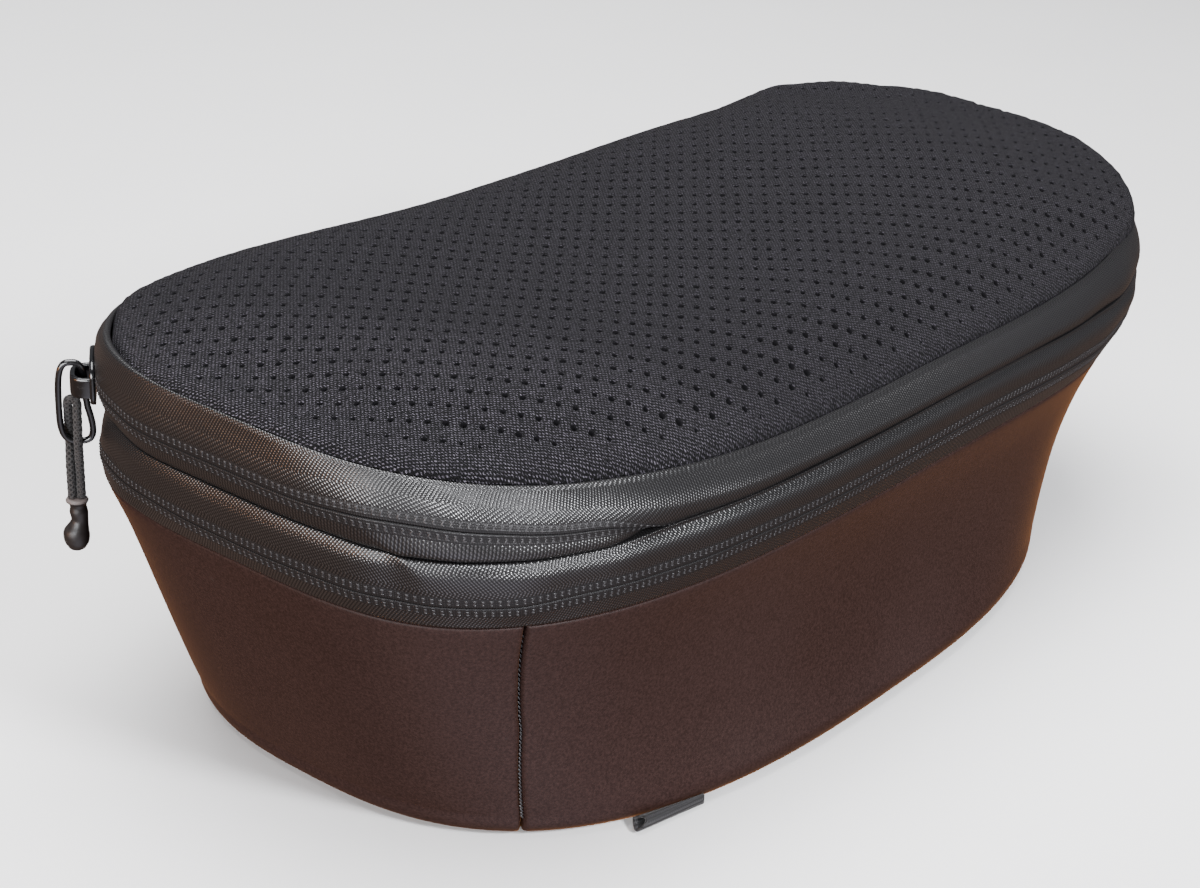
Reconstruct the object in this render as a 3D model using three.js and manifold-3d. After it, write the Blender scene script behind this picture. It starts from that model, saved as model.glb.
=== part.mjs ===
import * as THREE from "three";
import { mergeVertices } from "three/addons/utils/BufferGeometryUtils.js";
import Module from "manifold-3d";

const wasm = await Module();
wasm.setup();

// Camera bag lying on its front face with the mesh back panel up.
// Millimetres, +Z up, origin on the floor under the middle of the bag.
// The near end is at -X, the near long side at -Y.

// Driving sizes
const BAND_WALL = 3;
const LIP_WALL = 1.6;
const SHELL_WALL = 4;
const BASE_WALL = 3;
const EDGE_HEIGHT = 6;
const HEM_INSET = 5;
const GAP = 0.3;
const ZIP_SINK = 0.5;
const PAD_CROWN = 14;
const PAD_POWER = 6;
const PAD_MIDDLE = 86.5;
const PAD_INSET = 2;
const SLIDER_ANGLE = 152.7;
const SLIDER_V = 0.63;

// How finely the curved forms are cut
const STEPS_ROUND = 64;
const START_ANGLE = 0.4;
const SLOPE_ANGLE = 1.5;
const END_PANEL_STEPS = 18;
const SIDE_PANEL_STEPS = 48;
const RING_STEPS = 28;
const RING_SLOPE_TURN = 0.05;
const WIRE_SIDES = 8;
const CORD_STEPS = 26;
const CORD_END_SIDES = 14;
const ARC_SEGMENTS = 6;

// Finish of each material
const LOOKS = {
  mesh: { color: 0x232327, roughness: 0.9, metalness: 0 },
  twill: { color: 0x2b2a2b, roughness: 0.72, metalness: 0 },
  zip: { color: 0x1d1d1f, roughness: 0.6, metalness: 0 },
  shell: { color: 0x2a2423, roughness: 0.62, metalness: 0 },
  webbing: { color: 0x242326, roughness: 0.8, metalness: 0 },
  slider: { color: 0x101012, roughness: 0.3, metalness: 0.8 },
  ring: { color: 0x0d0d0e, roughness: 0.25, metalness: 0.9 },
  cord: { color: 0x2a292b, roughness: 0.85, metalness: 0 },
  rubber: { color: 0x1c1a1a, roughness: 0.5, metalness: 0 },
};

// Plan outline at each level, half sizes and squareness of the near and far long sides
const LEVELS = [
  { name: "seam", halfLength: 160, halfWidth: 73.4, nearPower: 3.8, farPower: 2.72, shift: 0 },
  { name: "fold", halfLength: 156.7, halfWidth: 79.5, nearPower: 3.8, farPower: 2.72, shift: 0 },
  { name: "shell", halfLength: 150.8, halfWidth: 78.5, nearPower: 3.53, farPower: 3.41, shift: 0 },
  { name: "waist", halfLength: 138.8, halfWidth: 76.3, nearPower: 3.17, farPower: 2.91, shift: -2.2 },
  { name: "edge", halfLength: 126.3, halfWidth: 81.5, nearPower: 2.76, farPower: 2.55, shift: -3.6 },
];

// Heights of the three seam lines round the rim, how full the bands are there,
// and how far the lip stands over the mesh
const RIM = [
  { angle: 0, seam: 97.6, fold: 80.6, shell: 66.6, full: 0.6, lip: 3 },
  { angle: 30, seam: 99.9, fold: 81, shell: 66, full: 0.6, lip: 4.5 },
  { angle: 60, seam: 91.8, fold: 79.5, shell: 63, full: 0.7, lip: 0.8 },
  { angle: 90, seam: 87.8, fold: 77.5, shell: 60, full: 0.9, lip: 0.2 },
  { angle: 120, seam: 97.4, fold: 80.5, shell: 62, full: 0.8, lip: 0.5 },
  { angle: 150, seam: 104.2, fold: 84, shell: 65, full: 0.6, lip: 2 },
  { angle: 180, seam: 105, fold: 84.6, shell: 65.3, full: 0.6, lip: 2 },
  { angle: 210, seam: 100.7, fold: 82.6, shell: 63.7, full: 0.7, lip: 1 },
  { angle: 240, seam: 92.6, fold: 79.8, shell: 61.5, full: 0.9, lip: 0.3 },
  { angle: 270, seam: 83.7, fold: 76.9, shell: 59.3, full: 1, lip: 0 },
  { angle: 300, seam: 83.8, fold: 73.2, shell: 56.5, full: 0.9, lip: 0.2 },
  { angle: 330, seam: 89.2, fold: 74.7, shell: 59.4, full: 0.7, lip: 1.5 },
];

// How far the bands stand out from the straight wall; v runs 0 seam, 1 fold, 2 shell top
const BULGE = [
  { v: 0, out: 0 },
  { v: 0.2, out: 1.8 },
  { v: 0.45, out: 3 },
  { v: 0.7, out: 2.4 },
  { v: 0.9, out: 0.6 },
  { v: 1, out: -1.2 },
  { v: 1.1, out: 0.4 },
  { v: 1.35, out: 1.6 },
  { v: 1.65, out: 1.6 },
  { v: 1.85, out: 0.8 },
  { v: 2, out: 0 },
  { v: 4, out: 0 },
];

// Bands round the bag from the mesh seam down to the shell
const BANDS = [
  { name: "upper_band", look: "twill", from: 0, to: 0.5, sink: 0, wall: LIP_WALL, rows: 5 },
  { name: "upper_zip", look: "zip", from: 0.525, to: 0.735, sink: ZIP_SINK, wall: BAND_WALL, rows: 3 },
  { name: "middle_band", look: "twill", from: 0.76, to: 0.985, sink: 0, wall: BAND_WALL, rows: 3 },
  { name: "lower_band", look: "twill", from: 1.01, to: 1.48, sink: 0, wall: BAND_WALL, rows: 5 },
  { name: "lower_zip", look: "zip", from: 1.505, to: 1.725, sink: ZIP_SINK, wall: BAND_WALL, rows: 3 },
  { name: "lower_trim", look: "twill", from: 1.75, to: 1.985, sink: 0, wall: BAND_WALL, rows: 3 },
];

// Levels down the shell wall, then the rows that turn under it at the hem
const SHELL_LEVELS = [2, 2.3, 2.7, 3.1, 3.5, 3.8, 4];
const HEM_ROWS = [
  { outer: 0.6, inner: SHELL_WALL + 0.3, drop: 2.6, innerDrop: 1 },
  { outer: 2.2, inner: SHELL_WALL + 0.6, drop: 4.8, innerDrop: 2 },
  { outer: HEM_INSET, inner: HEM_INSET, drop: EDGE_HEIGHT, innerDrop: 3 },
];
const HEM_LEVEL = 4;

// Where the two upright seams part the shell, by level
const SHELL_SEAM = [
  { v: 2, near: 223.3, far: 136.7 },
  { v: 3, near: 220.3, far: 139.7 },
  { v: 4, near: 214.4, far: 145.6 },
];
const SEAM_GAP_ANGLE = 0.12;

// Padded panel rings from the middle out, with the thickness of the pad at each
const PAD_ROWS = [
  { reach: 0.3, thick: 10 },
  { reach: 0.55, thick: 10 },
  { reach: 0.74, thick: 9.5 },
  { reach: 0.86, thick: 8 },
  { reach: 0.94, thick: 5.5 },
  { reach: 1, thick: 2 },
];

// Webbing loop under the near edge: place round the bag, width along it, reach, web and hollow
const LOOP = {
  angle: 237.6,
  inset: 1.6,
  width: 20,
  reach: 4.6,
  middle: 1.45,
  height: 3.4,
  web: 0.8,
  root: 1,
  hollow: 1.5,
  steps: 16,
};

// Slider, ring, cord and cord end, measured out from the zip, along it, and up from its middle
const SLIDER = { length: 13, width: 11, lift: 0.2, top: 1.4, chamfer: 0.6 };
const BRIDGE = { halfLength: 5, low: -3.3, high: 1.5, reach: 5.8, bar: 1.3, root: 0.5 };
const RING = {
  outer: 8.4,
  up: -5.9,
  halfWidth: 2.95,
  spread: 1.2,
  halfHeight: 9.4,
  power: 3.2,
  wire: 0.75,
};
const CORD = { radius: 0.95, bottom: -29, curveSegments: 4 };
const CORD_PATH = [
  { out: 4.4, along: 0, up: CORD.bottom },
  { out: 4.5, along: 0.1, up: -21 },
  { out: 4.5, along: 1.1, up: -17.6 },
  { out: 4.5, along: 2, up: -15.3 },
  { out: 4.5, along: 1.2, up: -9 },
  { out: 4.75, along: 0.2, up: -5.4 },
  { out: 6.25, along: -0.2, up: -5.4 },
  { out: 6.5, along: -1.2, up: -9 },
  { out: 6.5, along: -2, up: -15.3 },
  { out: 6.5, along: -1.1, up: -17.6 },
  { out: 6.5, along: -0.1, up: -21 },
  { out: 6.4, along: 0, up: CORD.bottom },
];
const CORD_END_OUT = 5.4;
const CORD_END_TIP = 0.3;
const CORD_END = [
  { down: 0, radius: 2.45, lean: 0 },
  { down: 0.8, radius: 2.45, lean: 0 },
  { down: 1, radius: 2.25, lean: -0.05 },
  { down: 3.5, radius: 2.05, lean: -0.25 },
  { down: 5.6, radius: 1.95, lean: -0.35 },
  { down: 6.4, radius: 2.2, lean: -0.1 },
  { down: 7.8, radius: 2.75, lean: 0.4 },
  { down: 9.8, radius: 2.9, lean: 0.45 },
  { down: 11.6, radius: 2.3, lean: 0.4 },
  { down: 12.8, radius: 1, lean: 0.4 },
];

const part = new THREE.Group();
part.name = "camera_bag";

function addMesh(name, geometry, look) {
  const material = new THREE.MeshStandardMaterial(LOOKS[look]);
  const mesh = new THREE.Mesh(geometry, material);
  mesh.name = name;
  part.add(mesh);
}

function tableValue(rows, key, column, at) {
  let i = 0;
  while (i < rows.length - 2 && at > rows[i + 1][key]) i++;
  const share = (at - rows[i][key]) / (rows[i + 1][key] - rows[i][key]);
  return rows[i][column] + (rows[i + 1][column] - rows[i][column]) * share;
}

// Smooth closed curve through the rim rows
function rimValue(column, angle) {
  const count = RIM.length;
  const spot = ((((angle % 360) + 360) % 360) / 360) * count;
  const i = Math.floor(spot);
  const t = spot - i;
  const a = RIM[(i + count - 1) % count][column];
  const b = RIM[i % count][column];
  const c = RIM[(i + 1) % count][column];
  const d = RIM[(i + 2) % count][column];
  const slopeIn = (c - a) / 2;
  const slopeOut = (d - b) / 2;
  const rise = c - b;
  return b + t * (slopeIn + t * (3 * rise - 2 * slopeIn - slopeOut + t * (slopeIn + slopeOut - 2 * rise)));
}

// Point of the straight wall at one of the five levels
function levelPoint(level, angle) {
  const row = LEVELS[level];
  const turn = THREE.MathUtils.degToRad(angle);
  const cos = Math.cos(turn);
  const sin = Math.sin(turn);
  const power = sin < 0 ? row.nearPower : row.farPower;
  const x = row.shift + row.halfLength * Math.sign(cos) * Math.abs(cos) ** (2 / power);
  const y = row.halfWidth * Math.sign(sin) * Math.abs(sin) ** (2 / power);
  const heights = [
    rimValue("seam", angle),
    rimValue("fold", angle),
    rimValue("shell", angle),
    rimValue("shell", angle) / 2,
    EDGE_HEIGHT,
  ];
  return new THREE.Vector3(x, y, heights[level]);
}

function straightWall(angle, v) {
  if (v <= 1) return levelPoint(0, angle).lerp(levelPoint(1, angle), v);
  if (v <= 2) return levelPoint(1, angle).lerp(levelPoint(2, angle), v - 1);
  const s = (v - 2) / 2;
  const point = levelPoint(2, angle).multiplyScalar((1 - s) * (1 - 2 * s));
  point.addScaledVector(levelPoint(3, angle), 4 * s * (1 - s));
  return point.addScaledVector(levelPoint(4, angle), s * (2 * s - 1));
}

function outward(angle, v) {
  const ahead = straightWall(angle + SLOPE_ANGLE, v);
  const behind = straightWall(angle - SLOPE_ANGLE, v);
  const along = ahead.sub(behind);
  return new THREE.Vector3(along.y, -along.x, 0).normalize();
}

// Point of the finished wall, moved in by an inset and down by a drop
function wallPoint(angle, v, inset, drop = 0) {
  const point = straightWall(angle, v);
  const out = tableValue(BULGE, "v", "out", v) * rimValue("full", angle) - inset;
  point.addScaledVector(outward(angle, v), out);
  point.z -= drop;
  return point;
}

// Solid through a row of sections; each section is a closed loop, outer side first
function loft(sections, closed) {
  const count = sections[0].length;
  const index = [];
  const spans = closed ? sections.length : sections.length - 1;
  for (let i = 0; i < spans; i++) {
    const here = i * count;
    const next = ((i + 1) % sections.length) * count;
    for (let j = 0; j < count; j++) {
      const k = (j + 1) % count;
      index.push(here + j, here + k, next + k, here + j, next + k, next + j);
    }
  }
  if (!closed) {
    const end = (sections.length - 1) * count;
    for (let j = 0; j < count / 2 - 1; j++) {
      const back = count - 1 - j;
      index.push(j, back - 1, j + 1, j, back, back - 1);
      index.push(end + j, end + j + 1, end + back - 1, end + j, end + back - 1, end + back);
    }
  }
  const geometry = new THREE.BufferGeometry();
  const numbers = sections.flat().flatMap((point) => [point.x, point.y, point.z]);
  geometry.setAttribute("position", new THREE.Float32BufferAttribute(numbers, 3));
  geometry.setIndex(index);
  geometry.computeVertexNormals();
  return geometry;
}

function angleAt(step) {
  return (360 * step) / STEPS_ROUND + START_ANGLE;
}

// The six bands
for (const band of BANDS) {
  const sections = [];
  for (let step = 0; step < STEPS_ROUND; step++) {
    const outer = [];
    const inner = [];
    for (let row = 0; row < band.rows; row++) {
      const v = band.from + ((band.to - band.from) * row) / (band.rows - 1);
      outer.push(wallPoint(angleAt(step), v, band.sink));
      inner.unshift(wallPoint(angleAt(step), v, band.wall));
    }
    sections.push([...outer, ...inner]);
  }
  addMesh(band.name, loft(sections, true), band.look);
}

// The shell in two panels, parted by the upright seams
const shellRows = SHELL_LEVELS.map((v) => ({ v, outer: 0, inner: SHELL_WALL, drop: 0, innerDrop: 0 }));
shellRows.push(...HEM_ROWS.map((row) => ({ v: HEM_LEVEL, ...row })));

function shellSections(fromSide, toSide, turn, steps) {
  const sections = [];
  for (let step = 0; step <= steps; step++) {
    const outer = [];
    const inner = [];
    for (const row of shellRows) {
      const from = tableValue(SHELL_SEAM, "v", fromSide, row.v) + SEAM_GAP_ANGLE;
      const to = tableValue(SHELL_SEAM, "v", toSide, row.v) + turn - SEAM_GAP_ANGLE;
      const angle = from + ((to - from) * step) / steps;
      outer.push(wallPoint(angle, row.v, row.outer, row.drop));
      inner.unshift(wallPoint(angle, row.v, row.inner, row.innerDrop));
    }
    sections.push([...outer, ...inner]);
  }
  return sections;
}
addMesh("shell_end_panel", loft(shellSections("far", "near", 0, END_PANEL_STEPS), false), "shell");
addMesh("shell_side_panel", loft(shellSections("near", "far", 360, SIDE_PANEL_STEPS), false), "shell");

// Flat solid spun from rings of points, closed by a point in the middle at both ends
function cappedStack(rings, topMiddle, bottomMiddle) {
  const count = rings[0].length;
  const numbers = rings.flat().flatMap((point) => [point.x, point.y, point.z]);
  const top = rings.length * count;
  const bottom = top + 1;
  numbers.push(...topMiddle.toArray(), ...bottomMiddle.toArray());
  const index = [];
  const end = (rings.length - 1) * count;
  for (let j = 0; j < count; j++) {
    const k = (j + 1) % count;
    index.push(top, j, k, bottom, end + k, end + j);
    for (let i = 0; i < rings.length - 1; i++) {
      const here = i * count;
      const next = here + count;
      index.push(here + j, next + j, next + k, here + j, next + k, here + k);
    }
  }
  const geometry = new THREE.BufferGeometry();
  geometry.setAttribute("position", new THREE.Float32BufferAttribute(numbers, 3));
  geometry.setIndex(index);
  geometry.computeVertexNormals();
  return geometry;
}

function ringOfPoints(pointAt) {
  return Array.from({ length: STEPS_ROUND }, (_, step) => pointAt(angleAt(step)));
}

// Base panel on the floor
const baseTop = ringOfPoints((angle) => wallPoint(angle, HEM_LEVEL, HEM_INSET + GAP, EDGE_HEIGHT - BASE_WALL));
const baseBottom = ringOfPoints((angle) => wallPoint(angle, HEM_LEVEL, HEM_INSET + GAP, EDGE_HEIGHT));
const baseMiddle = new THREE.Vector3(LEVELS[HEM_LEVEL].shift, 0, 0);
const baseGeometry = cappedStack([baseTop, baseBottom], baseMiddle.clone().setZ(BASE_WALL), baseMiddle);
addMesh("base_panel", baseGeometry, "shell");

// Padded back panel: saddle along the length, crowned across
function padPoint(angle, reach, thick) {
  const edge = wallPoint(angle, 0, PAD_INSET, rimValue("lip", angle));
  const saddle = (edge.z - PAD_MIDDLE) * reach ** 2;
  const crown = PAD_CROWN * (1 - reach ** PAD_POWER);
  return new THREE.Vector3(edge.x * reach, edge.y * reach, PAD_MIDDLE + saddle + crown - thick);
}
const padRings = PAD_ROWS.map((row) => ringOfPoints((angle) => padPoint(angle, row.reach, 0)));
for (const row of PAD_ROWS.toReversed()) {
  padRings.push(ringOfPoints((angle) => padPoint(angle, row.reach, row.thick)));
}
const padTop = new THREE.Vector3(0, 0, PAD_MIDDLE + PAD_CROWN);
const padBottom = padTop.clone().setZ(padTop.z - PAD_ROWS[0].thick);
addMesh("back_panel", cappedStack(padRings, padTop, padBottom), "mesh");

// Places on the wall with their own axes: out from the wall, along it, and up
function spotOnWall(angle, v, inset) {
  const out = outward(angle, v);
  const along = new THREE.Vector3(-out.y, out.x, 0);
  return { origin: wallPoint(angle, v, inset), out, along, up: new THREE.Vector3(0, 0, 1) };
}

function onSpot(spot, out, along, up) {
  const point = spot.origin.clone();
  point.addScaledVector(spot.out, out);
  point.addScaledVector(spot.along, along);
  return point.addScaledVector(spot.up, up);
}

// Webbing loop: a flat teardrop seen along the edge, hollow right through
function loopPoint(spot, turn, root, reach, height, along) {
  const out = root + ((reach - root) * (1 - Math.cos(turn))) / 2;
  const up = LOOP.middle + (height / 2) * Math.sin(turn) * Math.sin(turn / 2);
  return onSpot(spot, out, along, up);
}
const loopSpot = spotOnWall(LOOP.angle, HEM_LEVEL, LOOP.inset);
loopSpot.origin.z = 0;
const loopSections = [];
for (let step = 0; step < LOOP.steps; step++) {
  const turn = (2 * Math.PI * step) / LOOP.steps;
  const end = LOOP.width / 2;
  const inside = LOOP.reach - LOOP.web;
  loopSections.push([
    loopPoint(loopSpot, turn, 0, LOOP.reach, LOOP.height, end),
    loopPoint(loopSpot, turn, 0, LOOP.reach, LOOP.height, -end),
    loopPoint(loopSpot, turn, LOOP.root, inside, LOOP.hollow, -end),
    loopPoint(loopSpot, turn, LOOP.root, inside, LOOP.hollow, end),
  ]);
}
addMesh("webbing_loop", loft(loopSections, true), "webbing");

// Slider body and bridge, each drawn out from the zip and along it, given height and joined
function toSolid(geometry) {
  const bare = geometry.clone();
  bare.deleteAttribute("normal");
  bare.deleteAttribute("uv");
  const merged = mergeVertices(bare);
  const vertProperties = new Float32Array(merged.attributes.position.array);
  const triVerts = new Uint32Array(merged.index.array);
  return new wasm.Manifold(new wasm.Mesh({ numProp: 3, vertProperties, triVerts }));
}

function fromSolid(solid) {
  const mesh = solid.getMesh();
  const geometry = new THREE.BufferGeometry();
  geometry.setAttribute("position", new THREE.Float32BufferAttribute(mesh.vertProperties, 3));
  geometry.setIndex(Array.from(mesh.triVerts));
  geometry.computeVertexNormals();
  return geometry;
}

function upright(shape, low, high) {
  const settings = { depth: high - low, bevelEnabled: false, curveSegments: ARC_SEGMENTS };
  return new THREE.ExtrudeGeometry(shape, settings).translate(0, 0, low);
}

const half = SLIDER.length / 2;
const bodyShape = new THREE.Shape();
bodyShape.moveTo(SLIDER.lift, -half);
bodyShape.lineTo(SLIDER.top - SLIDER.chamfer, -half);
bodyShape.lineTo(SLIDER.top, -half + SLIDER.chamfer);
bodyShape.lineTo(SLIDER.top, half - SLIDER.chamfer);
bodyShape.lineTo(SLIDER.top - SLIDER.chamfer, half);
bodyShape.lineTo(SLIDER.lift, half);
bodyShape.closePath();

function archShape(root, reach, halfSpan) {
  const shape = new THREE.Shape();
  shape.moveTo(root, -halfSpan);
  shape.bezierCurveTo(reach, -halfSpan, reach, -halfSpan / 2, reach, 0);
  shape.bezierCurveTo(reach, halfSpan / 2, reach, halfSpan, root, halfSpan);
  shape.closePath();
  return shape;
}
const archOutside = archShape(SLIDER.top - BRIDGE.root, BRIDGE.reach, BRIDGE.halfLength);
const archInside = archShape(SLIDER.top, BRIDGE.reach - BRIDGE.bar, BRIDGE.halfLength - BRIDGE.bar);
const arch = toSolid(upright(archOutside, BRIDGE.low, BRIDGE.high));
const archHole = toSolid(upright(archInside, BRIDGE.low - BRIDGE.bar, BRIDGE.high + BRIDGE.bar));
const sliderBody = toSolid(upright(bodyShape, -SLIDER.width / 2, SLIDER.width / 2));
const sliderGeometry = fromSolid(sliderBody.add(arch.subtract(archHole)));
const sliderSpot = spotOnWall(SLIDER_ANGLE, SLIDER_V, 0);
const sliderAxes = new THREE.Matrix4().makeBasis(sliderSpot.out, sliderSpot.along, sliderSpot.up);
sliderGeometry.applyMatrix4(sliderAxes.setPosition(sliderSpot.origin));
addMesh("zip_slider", sliderGeometry, "slider");

// Wire ring through the bridge, its plane square to the zip
function ringCentre(turn) {
  const cos = Math.cos(turn);
  const sin = Math.sin(turn);
  const rise = Math.sign(sin) * Math.abs(sin) ** (2 / RING.power);
  const halfWidth = RING.halfWidth + RING.spread * Math.max(0, -rise);
  const out = RING.outer - halfWidth + halfWidth * Math.sign(cos) * Math.abs(cos) ** (2 / RING.power);
  return { out, up: RING.up + RING.halfHeight * rise };
}
const ringSections = [];
for (let step = 0; step < RING_STEPS; step++) {
  const turn = (2 * Math.PI * (step + 0.5)) / RING_STEPS;
  const centre = ringCentre(turn);
  const ahead = ringCentre(turn + RING_SLOPE_TURN);
  const behind = ringCentre(turn - RING_SLOPE_TURN);
  const slope = Math.atan2(ahead.up - behind.up, ahead.out - behind.out) - Math.PI / 2;
  const section = [];
  for (let side = 0; side < WIRE_SIDES; side++) {
    const around = (2 * Math.PI * side) / WIRE_SIDES;
    const away = RING.wire * Math.cos(around);
    const across = RING.wire * Math.sin(around);
    const out = centre.out + away * Math.cos(slope);
    section.push(onSpot(sliderSpot, out, across, centre.up + away * Math.sin(slope)));
  }
  ringSections.push(section);
}
addMesh("pull_ring", loft(ringSections, true), "ring");

// Doubled cord hitched over the foot of the ring
const cordPoints = CORD_PATH.map((row) => onSpot(sliderSpot, row.out, row.along, row.up));
const cordSection = new THREE.Shape();
cordSection.absarc(0, 0, CORD.radius, 0, 2 * Math.PI, false);
const cordGeometry = new THREE.ExtrudeGeometry(cordSection, {
  steps: CORD_STEPS,
  curveSegments: CORD.curveSegments,
  bevelEnabled: false,
  extrudePath: new THREE.CatmullRomCurve3(cordPoints),
});
addMesh("pull_cord", cordGeometry, "cord");

// Moulded cord end: a rimmed tube running out into a round lobe
const endTop = CORD.bottom - GAP;
const endRings = CORD_END.map((row) => {
  const ring = [];
  for (let side = 0; side < CORD_END_SIDES; side++) {
    const around = (2 * Math.PI * side) / CORD_END_SIDES;
    const out = CORD_END_OUT + row.lean + row.radius * Math.cos(around);
    ring.push(onSpot(sliderSpot, out, row.radius * Math.sin(around), endTop - row.down));
  }
  return ring;
});
const endFirst = CORD_END[0];
const endLast = CORD_END[CORD_END.length - 1];
const endCapTop = onSpot(sliderSpot, CORD_END_OUT + endFirst.lean, 0, endTop - endFirst.down);
const endCapBottom = onSpot(sliderSpot, CORD_END_OUT + endLast.lean, 0, endTop - endLast.down - CORD_END_TIP);
addMesh("cord_end", cappedStack(endRings, endCapTop, endCapBottom), "rubber");

export default part;
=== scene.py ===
import bpy
import numpy as np
from mathutils import Matrix


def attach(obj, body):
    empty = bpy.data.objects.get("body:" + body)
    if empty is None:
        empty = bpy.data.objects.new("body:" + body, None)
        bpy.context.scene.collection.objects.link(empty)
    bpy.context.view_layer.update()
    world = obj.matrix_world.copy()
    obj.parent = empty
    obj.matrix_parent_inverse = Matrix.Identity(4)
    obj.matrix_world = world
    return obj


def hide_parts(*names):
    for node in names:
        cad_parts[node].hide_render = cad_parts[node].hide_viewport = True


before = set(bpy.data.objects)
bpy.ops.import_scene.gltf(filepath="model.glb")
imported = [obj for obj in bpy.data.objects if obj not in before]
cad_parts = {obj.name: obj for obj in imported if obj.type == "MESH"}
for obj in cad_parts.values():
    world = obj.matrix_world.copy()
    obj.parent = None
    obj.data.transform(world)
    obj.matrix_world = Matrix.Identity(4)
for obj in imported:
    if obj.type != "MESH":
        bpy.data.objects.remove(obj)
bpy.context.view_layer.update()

# Camera bag lying on its front face with the mesh panel up.
# Tables and functions of the wall are in millimetres, as in the part; pieces are made in metres.
MM = 0.001
UP = np.array([0, 0, 1.0])
SEED = 7

# Wall of the bag: plan outline at five levels, and heights round the rim every 30 degrees
EDGE_HEIGHT = 6.0
HEM_INSET = 5.0
LIP_WALL = 0.8
LIP_WALL_RISE = 0.55
LIP_ANGLES = (136, 152, 162, 179)
LIP_SHOWN = 0.45
LEVELS = {
    "half_length": (160.0, 156.7, 150.8, 138.8, 126.3),
    "half_width": (73.4, 79.5, 78.5, 76.3, 81.5),
    "near": (3.8, 3.8, 3.53, 3.17, 2.76),
    "far": (2.72, 2.72, 3.41, 2.91, 2.55),
    "shift": (0.0, 0.0, 0.0, -2.2, -3.6),
}
RIM = {
    "seam": (97.6, 99.9, 91.8, 87.8, 97.4, 104.2, 105, 100.7, 92.6, 83.7, 83.8, 89.2),
    "fold": (80.6, 81, 79.5, 77.5, 80.5, 84, 84.6, 82.6, 79.8, 76.9, 73.2, 74.7),
    "shell": (66.6, 66, 63, 60, 62, 65, 65.3, 63.7, 61.5, 59.3, 56.5, 59.4),
    "full": (0.6, 0.6, 0.7, 0.9, 0.8, 0.6, 0.6, 0.7, 0.9, 1, 0.9, 0.7),
    "lip": (3, 4.5, 0.8, 0.2, 0.5, 2, 2, 1, 0.3, 0, 0.2, 1.5),
}
BULGE_V = (0, 0.2, 0.45, 0.7, 0.9, 1, 1.1, 1.35, 1.65, 1.85, 2, 4)
BULGE_OUT = (0, 1.8, 3, 2.4, 0.6, -1.2, 0.4, 1.6, 1.6, 0.8, 0, 0)
SLOPE_ANGLE = 1.5

# Cloth over the wall: on the near long side the upper zip turns under,
# and the fold there is a deep crease with a lip
TUCK_ANGLES = (236, 251, 318, 342)
TUCK_START = 0.52
TUCK_END = 0.985
TUCK_DEPTH = 6.0
CREASE_ANGLES = (201, 208, 335, 355)
LIP_V = (0.72, 0.8, 0.88, 0.94, 0.98, 1.0, 1.05, 1.1, 1.2, 1.3, 1.42, 1.6, 1.9)
LIP_OUT = (0, 0.5, 1.1, 1.5, 1.6, 1.4, 1.25, 1.1, 1.35, 1.35, 1.1, 0.6, 0)
LIP_CLIMB = 0.075
LIP_CLIMB_END = 1.3
UPPER_CLIMB = 0.1
UPPER_CLIMB_ANGLES = (186, 205, 210, 236)
LOWER_CLIMB = 0.1
LOWER_CLIMB_ANGLES = (214, 240, 300, 330)
PINCH_ANGLE = 203.6
PINCH_HALF = 2.4
PINCH_LEAN = 14.0
PINCH_V = 0.98
PINCH_REACH = 0.17
PINCH_OUT = 0.9
WANDER = ((3, 1.7, 0.4), (7, -2.3, 1.9), (11, 3.1, 4.0), (17, -1.2, 0.7), (26, 2.6, 2.9))
WANDER_OUT = 0.14
CALM_TOP = 0.15
CALM_END = 1.95
CALM_FADE = 0.2
SHOULDERS = ((44.0, 6.0, 1.8), (21.0, 9.0, -1.5))
SHOULDER_END = 0.6

# Upright seams of the shell
SEAM_V = (2, 3, 4)
SEAM_NEAR = (223.3, 220.3, 214.4)
SEAM_FAR = (136.7, 139.7, 145.6)

# Mesh panel
PAD_CROWN = 14.0
PAD_POWER = 6.0
PAD_MIDDLE = 86.5
PAD_GAP = 0.12
PAD_COVER = 0.15
PAD_OVER = 0.75
PAD_CLIMB = 0.88
HALF_TURN = 180.0
HANG_ANGLES = (118, 138, 165, 200)
HANG_OUT = 2.6
PAD_THICK = 10.0

# Zip pull, measured out from the zip, along it, and up from its middle
SLIDER_ANGLE = 152.7
SLIDER_V = 0.63
RING = {
    "outer": 8.4, "up": -5.9, "half_width": 2.95, "spread": 1.2,
    "half_height": 9.4, "power": 3.2, "wire": 0.75,
}
RING_STEPS = 120
WIRE_SIDES = 14
SLIDER_HALF_LENGTH = 6.5
SLIDER_HALF_HEIGHT = 5.5
SLIDER_TAPER = 0.9
SLIDER_POWER = 0.5
SLIDER_SIDES = 64
SLIDER_LAYERS = ((0.02, 0.2), (1, 0.2), (1, 0.9), (0.975, 1.25), (0.92, 1.4), (0.4, 1.45), (0.02, 1.45))
BRIDGE = {"root": 1.15, "reach": 5.15, "half": 4.35, "thick": 0.65, "lift": -0.9, "half_height": 2.4}
BRIDGE_POWER = 0.3
BRIDGE_STEPS = 24
BRIDGE_SIDES = 28
CORD_RADIUS = 0.95
CORD_STEPS = 260
CORD_SIDES = 20
BRAID_STRANDS = 3
BRAID_TWIST = 3.4
BRAID_FULL = 1.06
BRAID_RELIEF = 0.04
CORD_BOTTOM = -29.0
CORD_PATH = (
    (4.4, 0, CORD_BOTTOM), (4.5, 0.1, -21), (4.5, 1.1, -17.6), (4.5, 2, -15.3), (4.5, 1.2, -9),
    (4.75, 0.2, -5.4), (6.25, -0.2, -5.4), (6.5, -1.2, -9), (6.5, -2, -15.3), (6.5, -1.1, -17.6),
    (6.5, -0.1, -21), (6.4, 0, CORD_BOTTOM),
)
CORD_END_OUT = 5.4
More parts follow.
